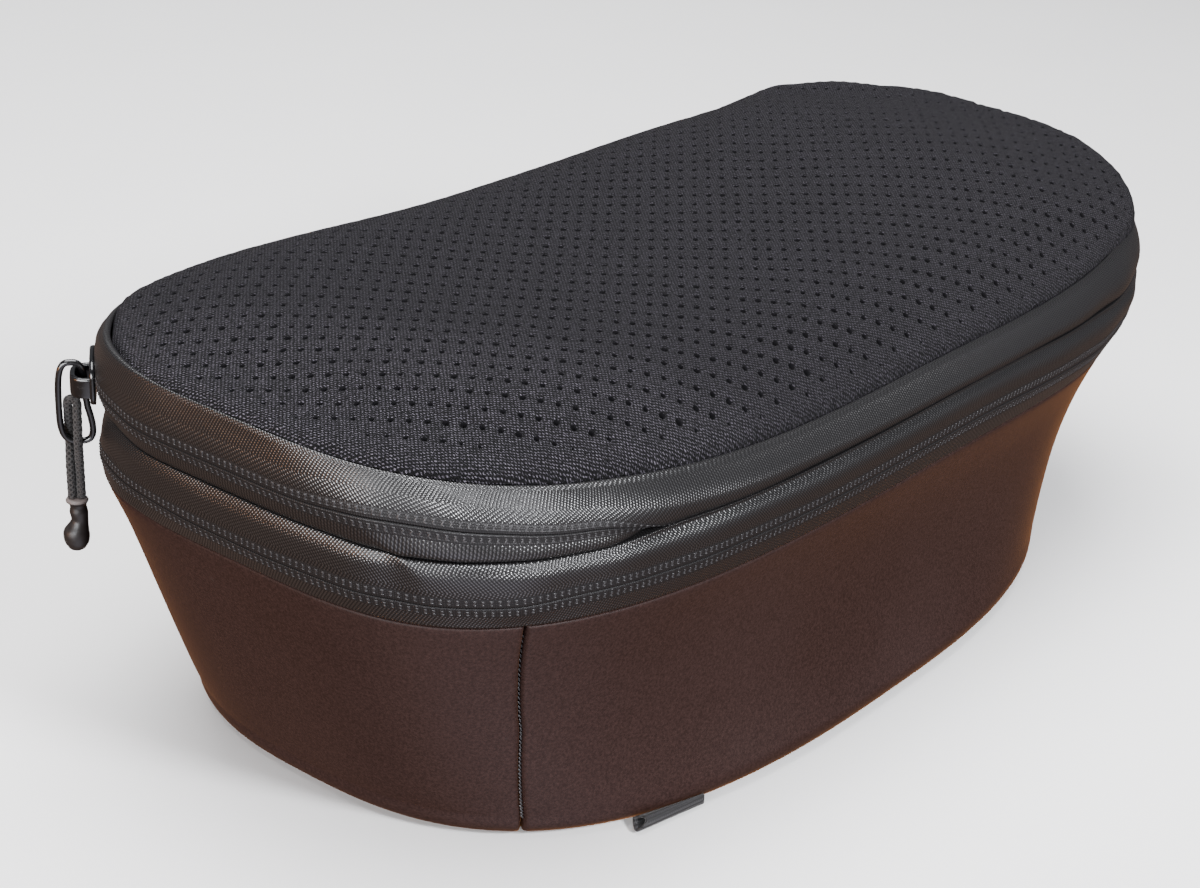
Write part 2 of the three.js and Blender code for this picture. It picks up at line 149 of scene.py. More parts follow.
CORD_END_DOWN = (0, 0.8, 1, 3.5, 5.6, 6.4, 7.8, 9.8, 11.6, 12.8, 13.1)
CORD_END_RADIUS = (2.45, 2.45, 2.25, 2.05, 1.95, 2.2, 2.75, 2.9, 2.3, 1, 0.05)
CORD_END_LEAN = (0, 0, -0.05, -0.25, -0.35, -0.1, 0.4, 0.45, 0.4, 0.4, 0.4)
# Height of a painted highlight: a pale band round the top rim of the cord end.
CORD_END_HIGHLIGHT_BAND = 0.6
CORD_END_GAP = 0.3
# Softness of the edge of that painted highlight band, in metres.
HIGHLIGHT_BAND_BLUR = 0.0002
CORD_END_TOP = ((0, 0.05), (0, 2.1), (0.12, 2.33), (0.3, 2.45))
CORD_END_BODY = 0.5
CORD_END_ROWS = 52
CORD_END_SIDES = 36

# Camera at the photograph's angle, for an image of 1200 by 888
CAMERA_PLACE = (-0.46213, -0.33790, 0.30701)
CAMERA_RIGHT = (0.62625946, -0.77812005, 0.04825233)
CAMERA_UP = (0.30159015, 0.29887482, 0.90538236)
CAMERA_BACK = (-0.71891757, -0.55245184, 0.42184653)
CAMERA_LENS = 72.711
CAMERA_SENSOR = 36.0
CAMERA_CLIP = 0.02

# Light: air that is warmer below and brighter towards the near corner, and four soft lights,
# each with place, target, size, power and colour
SKY = (0.19, 0.195, 0.208)
BOUNCE = (0.28, 0.19, 0.15)
GLOW = (1.5, 1.46, 1.66)
GLOW_WAY = (-0.37, -0.62, -0.69)
GLOW_WIDE = 0.72
HORIZON = (-0.25, 0.1)
LIGHTS = {
    "top_soft": ((-0.1, 0.12, 1.15), (0, 0, 0.08), (1.0, 0.9), 34, (0.98, 0.98, 1.0)),
    "key_soft": ((-0.08, -0.94, 0.62), (-0.12, -0.06, 0.08), (0.22, 0.2), 22, (0.95, 0.96, 1.0)),
    "front_fill": ((-2.3, -0.53, 0.44), (-0.05, 0, 0.05), (2.0, 1.0), 118, (0.95, 0.97, 1.0)),
    "left_warm": ((-0.75, 0.24, 0.09), (-0.12, 0.02, 0.03), (0.4, 0.1), 1.2, (1.0, 0.4, 0.12)),
}
FLOOR_HALF = 30000
FLOOR_HEIGHT = -0.4

# How finely the forms are cut
COLUMNS = 760
FINE_STEPS = 1200
SPLINE_STEPS = 40
ANGLE_STEP = 0.2
LEVEL_STEP = 0.02
SWEEP_TILT = 0.01
rng = np.random.default_rng(SEED)


# Curves and the wall


def unit(vectors):
    return vectors / np.linalg.norm(vectors, axis=-1, keepdims=True)


def turns(count, start=0):
    """Even angles once round, in radians."""
    return 2 * np.pi * (np.arange(count) + start) / count


def blunt(value, power):
    """Sine or cosine with the corners of a rounded square."""
    return np.sign(value) * np.abs(value) ** power


def rim(column, angle):
    """Smooth closed curve through one row of the rim table."""
    table = np.asarray(RIM[column], float)
    count = len(table)
    spot = np.mod(angle, 360.0) / 360.0 * count
    i = np.floor(spot).astype(int)
    t = spot - i
    a, b, c, d = (table[(i + k) % count] for k in (-1, 0, 1, 2))
    slope_in, slope_out, rise = (c - a) / 2, (d - b) / 2, c - b
    bend = slope_in + slope_out - 2 * rise
    return b + t * (slope_in + t * (3 * rise - 2 * slope_in - slope_out + t * bend))


def smooth_table(xs, ys, x):
    """Cubic through the points of a table."""
    xs, ys = np.asarray(xs, float), np.asarray(ys, float)
    slopes = np.gradient(ys, xs)
    i = np.clip(np.searchsorted(xs, x, side="right") - 1, 0, len(xs) - 2)
    width = xs[i + 1] - xs[i]
    t = np.clip((x - xs[i]) / width, 0, 1)
    low = (2 * t**3 - 3 * t**2 + 1) * ys[i] + (t**3 - 2 * t**2 + t) * width * slopes[i]
    high = (3 * t**2 - 2 * t**3) * ys[i + 1] + (t**3 - t**2) * width * slopes[i + 1]
    return low + high


def level_point(level, angle):
    row = {key: column[level] for key, column in LEVELS.items()}
    turn = np.radians(angle)
    cos, sin = np.cos(turn), np.sin(turn)
    power = np.where(sin < 0, row["near"], row["far"])
    x = row["shift"] + row["half_length"] * blunt(cos, 2 / power)
    y = row["half_width"] * blunt(sin, 2 / power)
    if level < 3:
        z = rim(("seam", "fold", "shell")[level], angle)
    else:
        z = rim("shell", angle) / 2 if level == 3 else np.full_like(x, EDGE_HEIGHT)
    return np.stack([x, y, z], -1)


def straight_wall(angle, v):
    """Wall before its bands are filled: v is 0 at the mesh seam, 1 fold, 2 shell top, 4 bottom edge."""
    angle, v = np.broadcast_arrays(np.asarray(angle, float), np.asarray(v, float))
    seam, fold, shell, waist, edge = (level_point(k, angle) for k in range(5))
    w = v[..., None]
    s = (w - 2) / 2
    upper = seam + (fold - seam) * w
    lower = fold + (shell - fold) * (w - 1)
    body = shell * (1 - s) * (1 - 2 * s) + waist * 4 * s * (1 - s) + edge * s * (2 * s - 1)
    return np.where(w <= 1, upper, np.where(w <= 2, lower, body))


def outward(angle, v):
    angle = np.asarray(angle)
    along = straight_wall(angle + SLOPE_ANGLE, v) - straight_wall(angle - SLOPE_ANGLE, v)
    return unit(np.stack([along[..., 1], -along[..., 0], np.zeros_like(along[..., 0])], -1))


def between(angle, angles):
    """Share that rises smoothly between the first two angles and falls between the last two."""
    turn = np.mod(angle, 360.0)
    rising = (turn - angles[0]) / (angles[1] - angles[0])
    falling = (angles[3] - turn) / (angles[3] - angles[2])
    share = np.clip(np.minimum(rising, falling), 0, 1)
    return share * share * (3 - 2 * share)


def cloth_shape(angle, v):
    """Level where the cloth of a level lies, and how far it stands out from the wall there."""
    tuck = between(angle, TUCK_ANGLES) * (v < 1)
    level = v + tuck * (TUCK_END * np.minimum(v / TUCK_START, 1) - v)
    upper, lower = np.clip(4 * v * (1 - v), 0, 1), np.clip(4 * (v - 1) * (2 - v), 0, 1)
    level = level - UPPER_CLIMB * between(angle, UPPER_CLIMB_ANGLES) * upper * (1 - tuck)
    level = level - LOWER_CLIMB * between(angle, LOWER_CLIMB_ANGLES) * lower
    rising = np.clip((LIP_CLIMB_END - v) / (LIP_CLIMB_END - 1), 0, 1) * (v >= 1)
    level = level - LIP_CLIMB * between(angle, TUCK_ANGLES) * rising
    out = -TUCK_DEPTH * tuck * np.clip((v - TUCK_START) / (1 - TUCK_START), 0, 1)
    out = out + between(angle, CREASE_ANGLES) * smooth_table(LIP_V, LIP_OUT, v)
    aside = (angle - PINCH_ANGLE - PINCH_LEAN * (v - PINCH_V)) / PINCH_HALF
    out = out + PINCH_OUT * np.exp(-(aside**2 + ((v - PINCH_V) / PINCH_REACH) ** 2))
    calm = np.clip(v / CALM_TOP, 0, 1) * np.clip((CALM_END - v) / CALM_FADE, 0, 1)
    for waves, lean, start in WANDER:
        out = out + WANDER_OUT * calm * np.sin(np.radians(angle) * waves + lean * v + start)
    return level, out


def wall(angle, v, out=0.0, drop=0.0):
    """Point of the filled wall, moved out and down."""
    angle, v = np.broadcast_arrays(np.asarray(angle, float), np.asarray(v, float))
    level, cloth_out = cloth_shape(angle, v)
    far = smooth_table(BULGE_V, BULGE_OUT, level) * rim("full", angle) + cloth_out + out
    point = straight_wall(angle, level) + outward(angle, level) * np.asarray(far)[..., None]
    point[..., 2] -= drop
    for middle, half, rise in SHOULDERS:
        share = np.exp(-(((angle - middle) / half) ** 2))
        point[..., 2] += rise * share * np.clip(1 - v / SHOULDER_END, 0, 1)
    return point


def wall_as_solid(angle, v):
    """Wall point with the part's own straight steps between the rows of the bulge."""
    far = np.interp(v, BULGE_V, BULGE_OUT) * rim("full", angle)
    return straight_wall(angle, v) + outward(angle, v) * far


def lip_wall(angle):
    """Thickness of the band's lip at the mesh seam."""
    return LIP_WALL + LIP_WALL_RISE * rim("lip", angle) * between(angle, LIP_ANGLES)


def even_angles(v, count, start=0.0, end=360.0):
    """Angles whose wall points are evenly spaced at one level."""
    t = np.linspace(0, 1, FINE_STEPS, endpoint=False)
    quarter = 90 * t**3 * (10 - 15 * t + 6 * t**2)
    fine = np.concatenate([quarter + 90 * k for k in range(-4, 8)])
    fine = np.unique(np.concatenate([[start], fine[(fine > start) & (fine < end)], [end]]))
    steps = np.linalg.norm(np.diff(straight_wall(fine, v), axis=0), axis=-1)
    length = np.concatenate([[0], np.cumsum(steps)])
    return np.interp(np.linspace(0, length[-1], count), length, fine), length[-1]


def frames_on_wall(angle, v, out=0.0):
    """Points on the wall with their axes: along it, out from it, and down it."""
    point = wall(angle, v, out)
    along = unit(wall(angle + ANGLE_STEP, v, out) - wall(angle - ANGLE_STEP, v, out))
    v = np.asarray(v)
    down = wall(angle, v + LEVEL_STEP, out) - wall(angle, v - LEVEL_STEP, out)
    down = unit(down - along * np.sum(along * down, -1, keepdims=True))
    return point, along, np.cross(down, along), down


# Meshes


def make_object(name, points, faces, uvs=None, materials=(), face_material=None):
    """Smooth mesh object from points in millimetres; uvs has one pair for each face corner."""
    mesh = bpy.data.meshes.new(name)
    mesh.from_pydata((np.asarray(points) * MM).tolist(), [], [list(map(int, face)) for face in faces])
    if uvs is not None:
        layer = mesh.uv_layers.new(name="cloth")
        layer.data.foreach_set("uv", np.asarray(uvs, np.float32).ravel())
    for material in materials:
        mesh.materials.append(material)
    if face_material is not None:
        mesh.polygons.foreach_set("material_index", np.asarray(face_material, np.int32))
    mesh.polygons.foreach_set("use_smooth", np.ones(len(mesh.polygons), bool))
    mesh.update()
    obj = bpy.data.objects.new(name, mesh)
    bpy.context.scene.collection.objects.link(obj)
    return obj


def add_piece(obj, body, slot_name, *nodes):
    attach(obj, body)
    if nodes:
        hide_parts(*nodes)
    return obj


def grid_object(name, grid, material, round_closed=True, down_closed=False, flat=None):
    """Loft through rows that run down and columns that run round, with cloth coordinates in millimetres."""
    rows, cols = grid.shape[:2]
    last_row, last_col = rows - (not down_closed), cols - (not round_closed)
    i, j = (x.ravel() for x in np.meshgrid(np.arange(last_row), np.arange(last_col), indexing="ij"))
    n, k = (i + 1) % rows, (j + 1) % cols
    faces = np.stack([i * cols + j, n * cols + j, n * cols + k, i * cols + k], -1)
    round_steps = np.linalg.norm(np.roll(grid, -1, 1) - grid, axis=-1).mean(0)
    down_steps = np.linalg.norm(np.roll(grid, -1, 0) - grid, axis=-1).mean(1)
    u = np.concatenate([[0], np.cumsum(round_steps)])
    w = np.concatenate([[0], np.cumsum(down_steps)])
    corners = [(u[j], w[i]), (u[j], w[i + 1]), (u[j + 1], w[i + 1]), (u[j + 1], w[i])]
    uvs = np.stack([np.stack(c, -1) for c in corners], 1) if flat is None else flat.reshape(-1, 2)[faces]
    return make_object(name, grid.reshape(-1, 3), faces, uvs, [material])


def half_egg(sides=6, heights=(0.0, 0.55, 0.88)):
    """Half an egg of unit size, as points and faces."""
    points = []
    for h in heights:
        reach = np.sqrt(1 - h * h)
        points += [(reach * np.cos(turn), reach * np.sin(turn), h) for turn in turns(sides)]
    points.append((0, 0, 1))
    faces = []
    last = (len(heights) - 1) * sides
    for low in range(0, last, sides):
        high = low + sides
        for k in range(sides):
            n = (k + 1) % sides
            faces += [(low + k, low + n, high + n), (low + k, high + n, high + k)]
    faces += [(last + k, last + (k + 1) % sides, len(points) - 1) for k in range(sides)]
    return np.array(points), np.array(faces)


def stitch_row(angle, v, out, slant, size):
    """Places, axes and half sizes of one row of stitches on the wall."""
    point, along, up, down = frames_on_wall(angle, v, out)
    slant = np.radians(slant)[:, None]
    first = along * np.cos(slant) + down * np.sin(slant)
    return point, first, np.cross(up, first), up, size


def make_stitches(name, rows, slot_name):
    """Many small raised stitches, each an egg with its own axes and half sizes."""
    point, first, second, up, size = (np.concatenate(column) for column in zip(*rows))
    shape, faces = half_egg()
    sized = shape[None] * size[:, None, :]
    placed = point[:, None]
    for k, axis in enumerate((first, second, up)):
        placed = placed + sized[..., k : k + 1] * axis[:, None]
    all_faces = faces[None] + (np.arange(len(point)) * len(shape))[:, None, None]
    thread = make_object(name, placed.reshape(-1, 3), all_faces.reshape(-1, 3), None, [THREAD])
    add_piece(thread, "bag", slot_name)


# Materials


class Nodes:
    """Short ways to add nodes to a tree."""

    def __init__(self, tree):
        self.tree = tree

    def add(self, kind):
        return self.tree.nodes.new("ShaderNode" + kind)

    def put(self, value, socket):
        if isinstance(value, bpy.types.NodeSocket):
            self.tree.links.new(value, socket)
        else:
            socket.default_value = value

    def fill(self, node, values):
        for value, socket in zip(values, node.inputs):
            self.put(value, socket)
        return node.outputs[0]

    def math(self, operation, *values):
        node = self.add("Math")
        node.operation = operation
        return self.fill(node, values)

    def plus(self, a, b):
        return self.math("ADD", a, b)

    def minus(self, a, b):
        return self.math("SUBTRACT", a, b)

    def times(self, a, b):
        return self.math("MULTIPLY", a, b)

    def wave(self, value, pitch):
        """Sine from 0 to 1 with a pitch in millimetres."""
        turned = self.math("SINE", self.times(value, 2 * np.pi / pitch))
        return self.math("MULTIPLY_ADD", turned, 0.5, 0.5)

    def range(self, value, low, high, to_low, to_high):
        return self.fill(self.add("MapRange"), (value, low, high, to_low, to_high))

    def mix(self, share, a, b):
        node = self.add("Mix")
        node.data_type = "RGBA"
        self.put(share, node.inputs[0])
        for value, socket in ((a, node.inputs[6]), (b, node.inputs[7])):
            self.put((*value, 1) if isinstance(value, tuple) else value, socket)
        return node.outputs[2]

    def vector(self, x, y):
        return self.fill(self.add("CombineXYZ"), (x, y))

    def parts(self, vector):
        node = self.add("SeparateXYZ")
        self.put(vector, node.inputs[0])
        return node.outputs

    def cloth_uv(self):
        node = self.add("UVMap")
        node.uv_map = "cloth"
        return self.parts(node.outputs[0])[:2]

    def place(self):
        return self.add("TexCoord").outputs["Object"]

    def noise(self, scale, detail=2.0, rough=0.5, vector=None):
        node = self.add("TexNoise")
        values = {"Scale": scale, "Detail": detail, "Roughness": rough, "Vector": vector or self.place()}
        for key, value in values.items():
            self.put(value, node.inputs[key])
        return node.outputs[0]

    def cells(self, scale):
        node = self.add("TexVoronoi")
        self.put(scale, node.inputs["Scale"])
        self.put(self.place(), node.inputs["Vector"])
        return node.outputs["Distance"]


class Look(Nodes):
    """One procedural material."""

    def __init__(self, name, color, roughness, **sockets):
        self.material = bpy.data.materials.new(name)
        self.material.use_nodes = True
        super().__init__(self.material.node_tree)
        self.shader = self.tree.nodes["Principled BSDF"]
        self.color((*color, 1))
        self.roughness(roughness)
        for key, value in sockets.items():
            self.put(value, self.shader.inputs[key.replace("_", " ")])

    def color(self, value):
        self.put(value, self.shader.inputs["Base Color"])

    def roughness(self, value):
        self.put(value, self.shader.inputs["Roughness"])

    def shine(self, value):
        self.put(value, self.shader.inputs["Specular IOR Level"])

    def bump(self, height, strength, distance):
        """Relief in millimetres, on top of the relief before it."""
        node = self.add("Bump")
        self.put(strength, node.inputs["Strength"])
        self.put(distance * MM, node.inputs["Distance"])
        self.put(height, node.inputs["Height"])
        normal = self.shader.inputs["Normal"]
        if normal.links:
            self.put(normal.links[0].from_socket, node.inputs["Normal"])
        self.put(node.outputs[0], normal)


def twill_look():
    look = Look("twill", (0.006, 0.0055, 0.0058), 0.4, IOR=1.65)
    u, w = look.cloth_uv()
    zigzag = look.math("PINGPONG", w, 5.0)
    diagonal = look.plus(look.times(u, 0.85), look.times(zigzag, 0.5))
    crossing = look.minus(look.times(u, 0.5), look.times(zigzag, 0.85))
    rib = look.wave(diagonal, 0.66)
    thread = look.times(rib, look.math("MULTIPLY_ADD", look.wave(crossing, 0.7), 0.7, 0.3))
    worn = look.noise(38, 4, 0.6)
    dark = look.mix(worn, (0.0026, 0.0023, 0.0024), (0.0042, 0.0038, 0.004))
    look.color(look.mix(thread, dark, (0.0105, 0.0099, 0.0106)))
    look.roughness(look.range(thread, 0, 1, 0.44, 0.24))
    look.shine(look.range(thread, 0.1, 0.75, 0.2, 1.0))
    look.bump(thread, 0.6, 0.13)
    look.bump(worn, 0.25, 0.5)
    return look.material


def zip_look():
    look = Look("zip_tape", (0.01, 0.009, 0.0095), 0.5, Specular_IOR_Level=0.28)
    u, w = look.cloth_uv()
    weave = look.times(look.wave(w, 0.5), look.wave(u, 0.55))
    look.color(look.mix(weave, (0.0062, 0.0057, 0.006), (0.0155, 0.0144, 0.015)))
    look.bump(weave, 0.5, 0.12)
    return look.material


def thread_look():
    look = Look("zip_thread", (0.03, 0.028, 0.03), 0.42, Specular_IOR_Level=0.45)
    grain = look.noise(2600, 2)
    look.color(look.mix(grain, (0.013, 0.0122, 0.0129), (0.034, 0.0323, 0.0342)))
    look.bump(grain, 0.3, 0.08)
    return look.material


def shell_look():
    look = Look("coated_shell", (0.02, 0.0125, 0.012), 0.55, Specular_IOR_Level=0.2,
                Sheen_Weight=0.24, Sheen_Roughness=0.26, Sheen_Tint=(1, 0.4, 0.12, 1))
    grain = look.cells(2100)
    fine = look.noise(1500, 4, 0.7)
    cloud = look.noise(22, 4, 0.55)
    scuff = look.noise(95, 5, 0.7)
    base = look.mix(cloud, (0.0104, 0.0042, 0.0034), (0.0168, 0.0072, 0.0058))
    base = look.mix(look.range(scuff, 0.68, 0.78, 0, 0.35), base, (0.05, 0.036, 0.033))
    look.color(look.mix(look.range(fine, 0.38, 0.66, 0, 0.7), base, (0.034, 0.0168, 0.0144)))
    look.roughness(look.range(cloud, 0.3, 0.7, 0.52, 0.64))
    look.bump(grain, 0.3, 0.09)
    look.bump(fine, 0.3, 0.06)
    look.bump(cloud, 0.12, 2.0)
    return look.material


def mesh_look():
    look = Look("air_mesh", (0.004, 0.0037, 0.0048), 0.75, Sheen_Weight=0.018, Specular_IOR_Level=0.1)
    u, w = look.cloth_uv()
    wale = look.plus(look.times(u, 0.8), look.times(w, 0.62))
    course = look.minus(look.times(w, 0.8), look.times(u, 0.62))
    stray = look.noise(0.55, 3, 0.6, look.vector(u, w))
    slanted = look.plus(look.times(wale, 0.7), look.times(course, 0.55))
    dash = look.times(look.wave(look.plus(slanted, look.times(stray, 1.0)), 0.74),
                      look.wave(look.plus(course, look.times(stray, 0.7)), 0.58))
    fuzz = look.noise(2400, 4, 0.75)
    patch = look.noise(30, 3)
    base = look.mix(patch, (0.0016, 0.0015, 0.0019), (0.0026, 0.0023, 0.003))
    fibre = look.plus(look.times(dash, 0.3), fuzz)
    # Painted highlight: towards the near corner the fibre glints are painted brighter and cover more of the
    # knit, standing in for light grazing the panel's near edge.
    x, y, _ = look.parts(look.place())
    along, across = look.times(x, -0.8), look.times(y, -0.6)
    near_corner_lit = look.range(look.plus(along, across), 0.08, 0.125, 0, 1)
    tip = look.minus(fibre, look.times(near_corner_lit, 0.06))
    glint = look.range(tip, 0.56, 0.84, 0, 1)
    fibre_glint, painted_lit_glint = (0.061, 0.0545, 0.068), (0.185, 0.167, 0.202)
    look.color(look.mix(glint, base, look.mix(near_corner_lit, fibre_glint, painted_lit_glint)))
    look.roughness(look.range(glint, 0, 1, 0.9, 0.4))
    look.bump(fibre, 1.0, 0.9)
    return look.material


def core_look():
    look = Look("mesh_core", (0.003, 0.003, 0.0035), 0.9, Specular_IOR_Level=0.05)
    grain = look.noise(1500, 2)
    look.color(look.mix(grain, (0.0022, 0.0022, 0.0026), (0.0055, 0.0052, 0.006)))
    look.bump(grain, 0.5, 0.2)
    return look.material


def webbing_look():
    look = Look("webbing", (0.016, 0.0155, 0.0165), 0.6, Sheen_Weight=0.1, Specular_IOR_Level=0.3)
    u, w = look.cloth_uv()
    rib = look.wave(w, 1.1)
    pick = look.wave(look.plus(u, look.times(rib, 0.3)), 0.6)
    weave = look.times(rib, look.math("MULTIPLY_ADD", pick, 0.6, 0.4))
    look.color(look.mix(weave, (0.007, 0.0066, 0.007), (0.034, 0.033, 0.035)))
    look.bump(weave, 0.7, 0.25)
    return look.material


def metal_look():
    look = Look("black_metal", (0.004, 0.004, 0.0045), 0.22,
                Metallic=0.1, Coat_Weight=0.5, Coat_Roughness=0.1)
    wear = look.noise(420, 4, 0.65)
    look.color(look.mix(look.range(wear, 0.6, 0.75, 0, 0.5), (0.0035, 0.0035, 0.004), (0.02, 0.0185, 0.0175)))
    look.roughness(look.range(wear, 0.3, 0.7, 0.15, 0.3))
    return look.material


def cord_look():
    look = Look("cord", (0.022, 0.0205, 0.0205), 0.7, Sheen_Weight=0.1, Specular_IOR_Level=0.25)
    u, w = look.cloth_uv()
    left = look.wave(look.plus(u, w), 1.2)
    right = look.wave(look.minus(u, w), 1.2)
    braid = look.math("MAXIMUM", left, right)
    look.color(look.mix(look.range(braid, 0.5, 1, 0, 1), (0.008, 0.0072, 0.0072), (0.04, 0.0375, 0.0368)))
    look.bump(braid, 0.8, 0.3)
    return look.material


def rubber_look():
    look = Look("cord_rubber", (0.01, 0.0082, 0.0078), 0.42, Specular_IOR_Level=0.4)
    grain = look.noise(900, 3)
    body = look.mix(grain, (0.008, 0.0062, 0.0058), (0.016, 0.0132, 0.0126))
    # Painted highlight: a pale band round the top rim of the cord end, above the height low.
    height = look.parts(look.place())[2]
    low = (wall_as_solid(SLIDER_ANGLE, SLIDER_V)[2] + CORD_BOTTOM - CORD_END_HIGHLIGHT_BAND - CORD_END_GAP) * MM
    rim_share = look.range(height, low - HIGHLIGHT_BAND_BLUR, low + HIGHLIGHT_BAND_BLUR, 0, 1)
    look.color(look.mix(rim_share, body, (0.12, 0.1, 0.094)))
    look.roughness(look.range(grain, 0.3, 0.7, 0.36, 0.5))
    look.bump(grain, 0.2, 0.1)
    return look.material


TWILL = twill_look()
ZIP = zip_look()
THREAD = thread_look()
SHELL = shell_look()
MESH = mesh_look()
CORE = core_look()
WEBBING = webbing_look()
METAL = metal_look()
CORD = cord_look()
RUBBER = rubber_look()


# Camera, light and floor


def place_object(obj, right, up, back, place):
    turned = np.eye(4)
    turned[:3] = np.stack([right, up, back, place], 1)
    obj.matrix_world = Matrix(turned.tolist())
    bpy.context.scene.collection.objects.link(obj)


def add_camera():
    data = bpy.data.cameras.new("camera")
    data.lens = CAMERA_LENS
    data.sensor_fit = "HORIZONTAL"
    data.sensor_width = CAMERA_SENSOR
    data.clip_start = CAMERA_CLIP
    camera = bpy.data.objects.new("camera", data)
    place_object(camera, CAMERA_RIGHT, CAMERA_UP, CAMERA_BACK, CAMERA_PLACE)
    bpy.context.scene.camera = camera


def add_light(name, place, target, size, power, color):
    data = bpy.data.lights.new(name, "AREA")
    data.shape = "RECTANGLE"
    data.size, data.size_y = size
    data.energy = power
    data.color = color
    back = unit(np.subtract(place, target))
    right = unit(np.cross((0, 0, 1), back))
    place_object(bpy.data.objects.new(name, data), right, np.cross(back, right), back, place)


def add_floor():
    look = Look("floor", (0.92, 0.915, 0.905), 0.7, Specular_IOR_Level=0.2)
    look.color(look.mix(look.noise(14, 3), (0.9, 0.895, 0.885), (0.94, 0.935, 0.925)))
    ways = ((-1, -1), (1, -1), (1, 1), (-1, 1))
    corners = [(x * FLOOR_HALF, y * FLOOR_HALF, FLOOR_HEIGHT) for x, y in ways]
    floor = make_object("floor", corners, [(0, 1, 2, 3)], None, [look.material])
    floor.visible_diffuse = False
    floor.visible_glossy = False


def add_air():
    world = bpy.data.worlds.new("studio")
    world.use_nodes = True
    air = Nodes(world.node_tree)
    heading = air.add("TexCoord").outputs["Generated"]
    height = air.range(air.parts(heading)[2], *HORIZON, 0, 1)
    facing = air.add("VectorMath")
    facing.operation = "DOT_PRODUCT"
    air.fill(facing, (heading, GLOW_WAY))
    glow = air.range(facing.outputs["Value"], GLOW_WIDE, 1, 0, 1)
    glow.node.interpolation_type = "SMOOTHSTEP"
    lit = air.mix(glow, air.mix(height, BOUNCE, SKY), GLOW)
    air.put(lit, air.tree.nodes["Background"].inputs["Color"])
    bpy.context.scene.world = world


# Pull: cord first, then its end, the ring and the slider


SPOT = wall_as_solid(SLIDER_ANGLE, SLIDER_V)
SPOT_OUT = outward(SLIDER_ANGLE, SLIDER_V)
SPOT_ALONG = np.array([-SPOT_OUT[1], SPOT_OUT[0], 0])


def on_spot(out, along, up):
    out, along, up = (np.asarray(x, float)[..., None] for x in (out, along, up))
    return SPOT + SPOT_OUT * out + SPOT_ALONG * along + UP * up


def spline(points, count):
    """Even points on a smooth open curve through the given ones."""
    points = np.asarray(points, float)
    padded = np.concatenate([[2 * points[0] - points[1]], points, [2 * points[-1] - points[-2]]])
    knots = np.concatenate([[0], np.cumsum(np.linalg.norm(np.diff(padded, axis=0), axis=1) ** 0.5)])
    fine = []
    for i in range(1, len(points)):
        a, b, c, d = padded[i - 1 : i + 3]
        ta, tb, tc, td = knots[i - 1 : i + 3]
        t = np.linspace(tb, tc, SPLINE_STEPS, endpoint=False)[:, None]
        ab = a + (b - a) * (t - ta) / (tb - ta)
        bc = b + (c - b) * (t - tb) / (tc - tb)
        cd = c + (d - c) * (t - tc) / (td - tc)
        abc = ab + (bc - ab) * (t - ta) / (tc - ta)
        bcd = bc + (cd - bc) * (t - tb) / (td - tb)
        fine.extend(abc + (bcd - abc) * (t - tb) / (tc - tb))
    fine = np.array([*fine, points[-1]])
    length = np.concatenate([[0], np.cumsum(np.linalg.norm(np.diff(fine, axis=0), axis=1))])
    at = np.linspace(0, length[-1], count)
    return np.stack([np.interp(at, length, fine[:, k]) for k in range(3)], -1), length[-1]


def sweep(path, section, closed):
    """Grid of a section swept along a path; the section is given as two offsets at each corner."""
    if closed:
        along = np.roll(path, -1, 0) - np.roll(path, 1, 0)
    else:
        along = np.gradient(path, axis=0)
    along = unit(along)
    side = np.cross(along[0], SPOT_OUT + SWEEP_TILT * SPOT_ALONG)
    sides = []
    for direction in along:
        side = side - direction * side.dot(direction)
        side /= np.linalg.norm(side)
        sides.append(side)
    sides = np.array(sides)
    lift = np.cross(along, sides)
    return path[:, None] + sides[:, None] * section[..., :1] + lift[:, None] * section[..., 1:]


def make_cord():
    path, length = spline(on_spot(*np.array(CORD_PATH).T), CORD_STEPS)
    turn = turns(CORD_SIDES)
    twist = np.linspace(0, length, len(path))[:, None] * BRAID_TWIST
    braid = np.maximum(np.sin(BRAID_STRANDS * turn + twist), np.sin(BRAID_STRANDS * turn - twist))
    radius = CORD_RADIUS * (BRAID_FULL + BRAID_RELIEF * braid)
    section = np.stack([radius * np.cos(turn), radius * np.sin(turn)], -1)
    grid = sweep(path, section, False).transpose(1, 0, 2)
    grid = np.concatenate([grid, grid[:1]])[::-1]
    cord = grid_object("pull_cord_braid", grid, CORD, round_closed=False)
    add_piece(cord, "pull", "cord", "pull_cord")
    return cord, path, length


def make_cord_end():
    top_down, top_radius = zip(*CORD_END_TOP)
    down = np.linspace(CORD_END_BODY, CORD_END_DOWN[-1], CORD_END_ROWS)
    down = np.concatenate([top_down, down])
    radius = smooth_table(CORD_END_DOWN, CORD_END_RADIUS, down)
    radius[: len(top_radius)] = top_radius
    lean = smooth_table(CORD_END_DOWN, CORD_END_LEAN, down)
    turn = turns(CORD_END_SIDES)
    top = CORD_BOTTOM - CORD_END_GAP
    out = CORD_END_OUT + lean[:, None] + radius[:, None] * np.cos(turn)
    along = radius[:, None] * np.sin(turn)
    up = np.broadcast_to((top - down)[:, None], out.shape)
    end = grid_object("cord_end_moulded", on_spot(out, along, up), RUBBER)
    return add_piece(end, "pull", "cord_rubber", "cord_end")


def make_ring():
    turn = turns(RING_STEPS, 0.5)
    power = 2 / RING["power"]
    rise = blunt(np.sin(turn), power)
    half = RING["half_width"] + RING["spread"] * np.maximum(0, -rise)
    out = RING["outer"] - half + half * blunt(np.cos(turn), power)
    path = on_spot(out, np.zeros_like(out), RING["up"] + RING["half_height"] * rise)
    around = turns(WIRE_SIDES)
    section = RING["wire"] * np.stack([np.cos(around), np.sin(around)], -1)
    grid = sweep(path, np.broadcast_to(section, (len(path), WIRE_SIDES, 2)), True)
    ring = grid_object("pull_ring_wire", grid, METAL, down_closed=True)
    return add_piece(ring, "pull", "black_metal", "pull_ring")


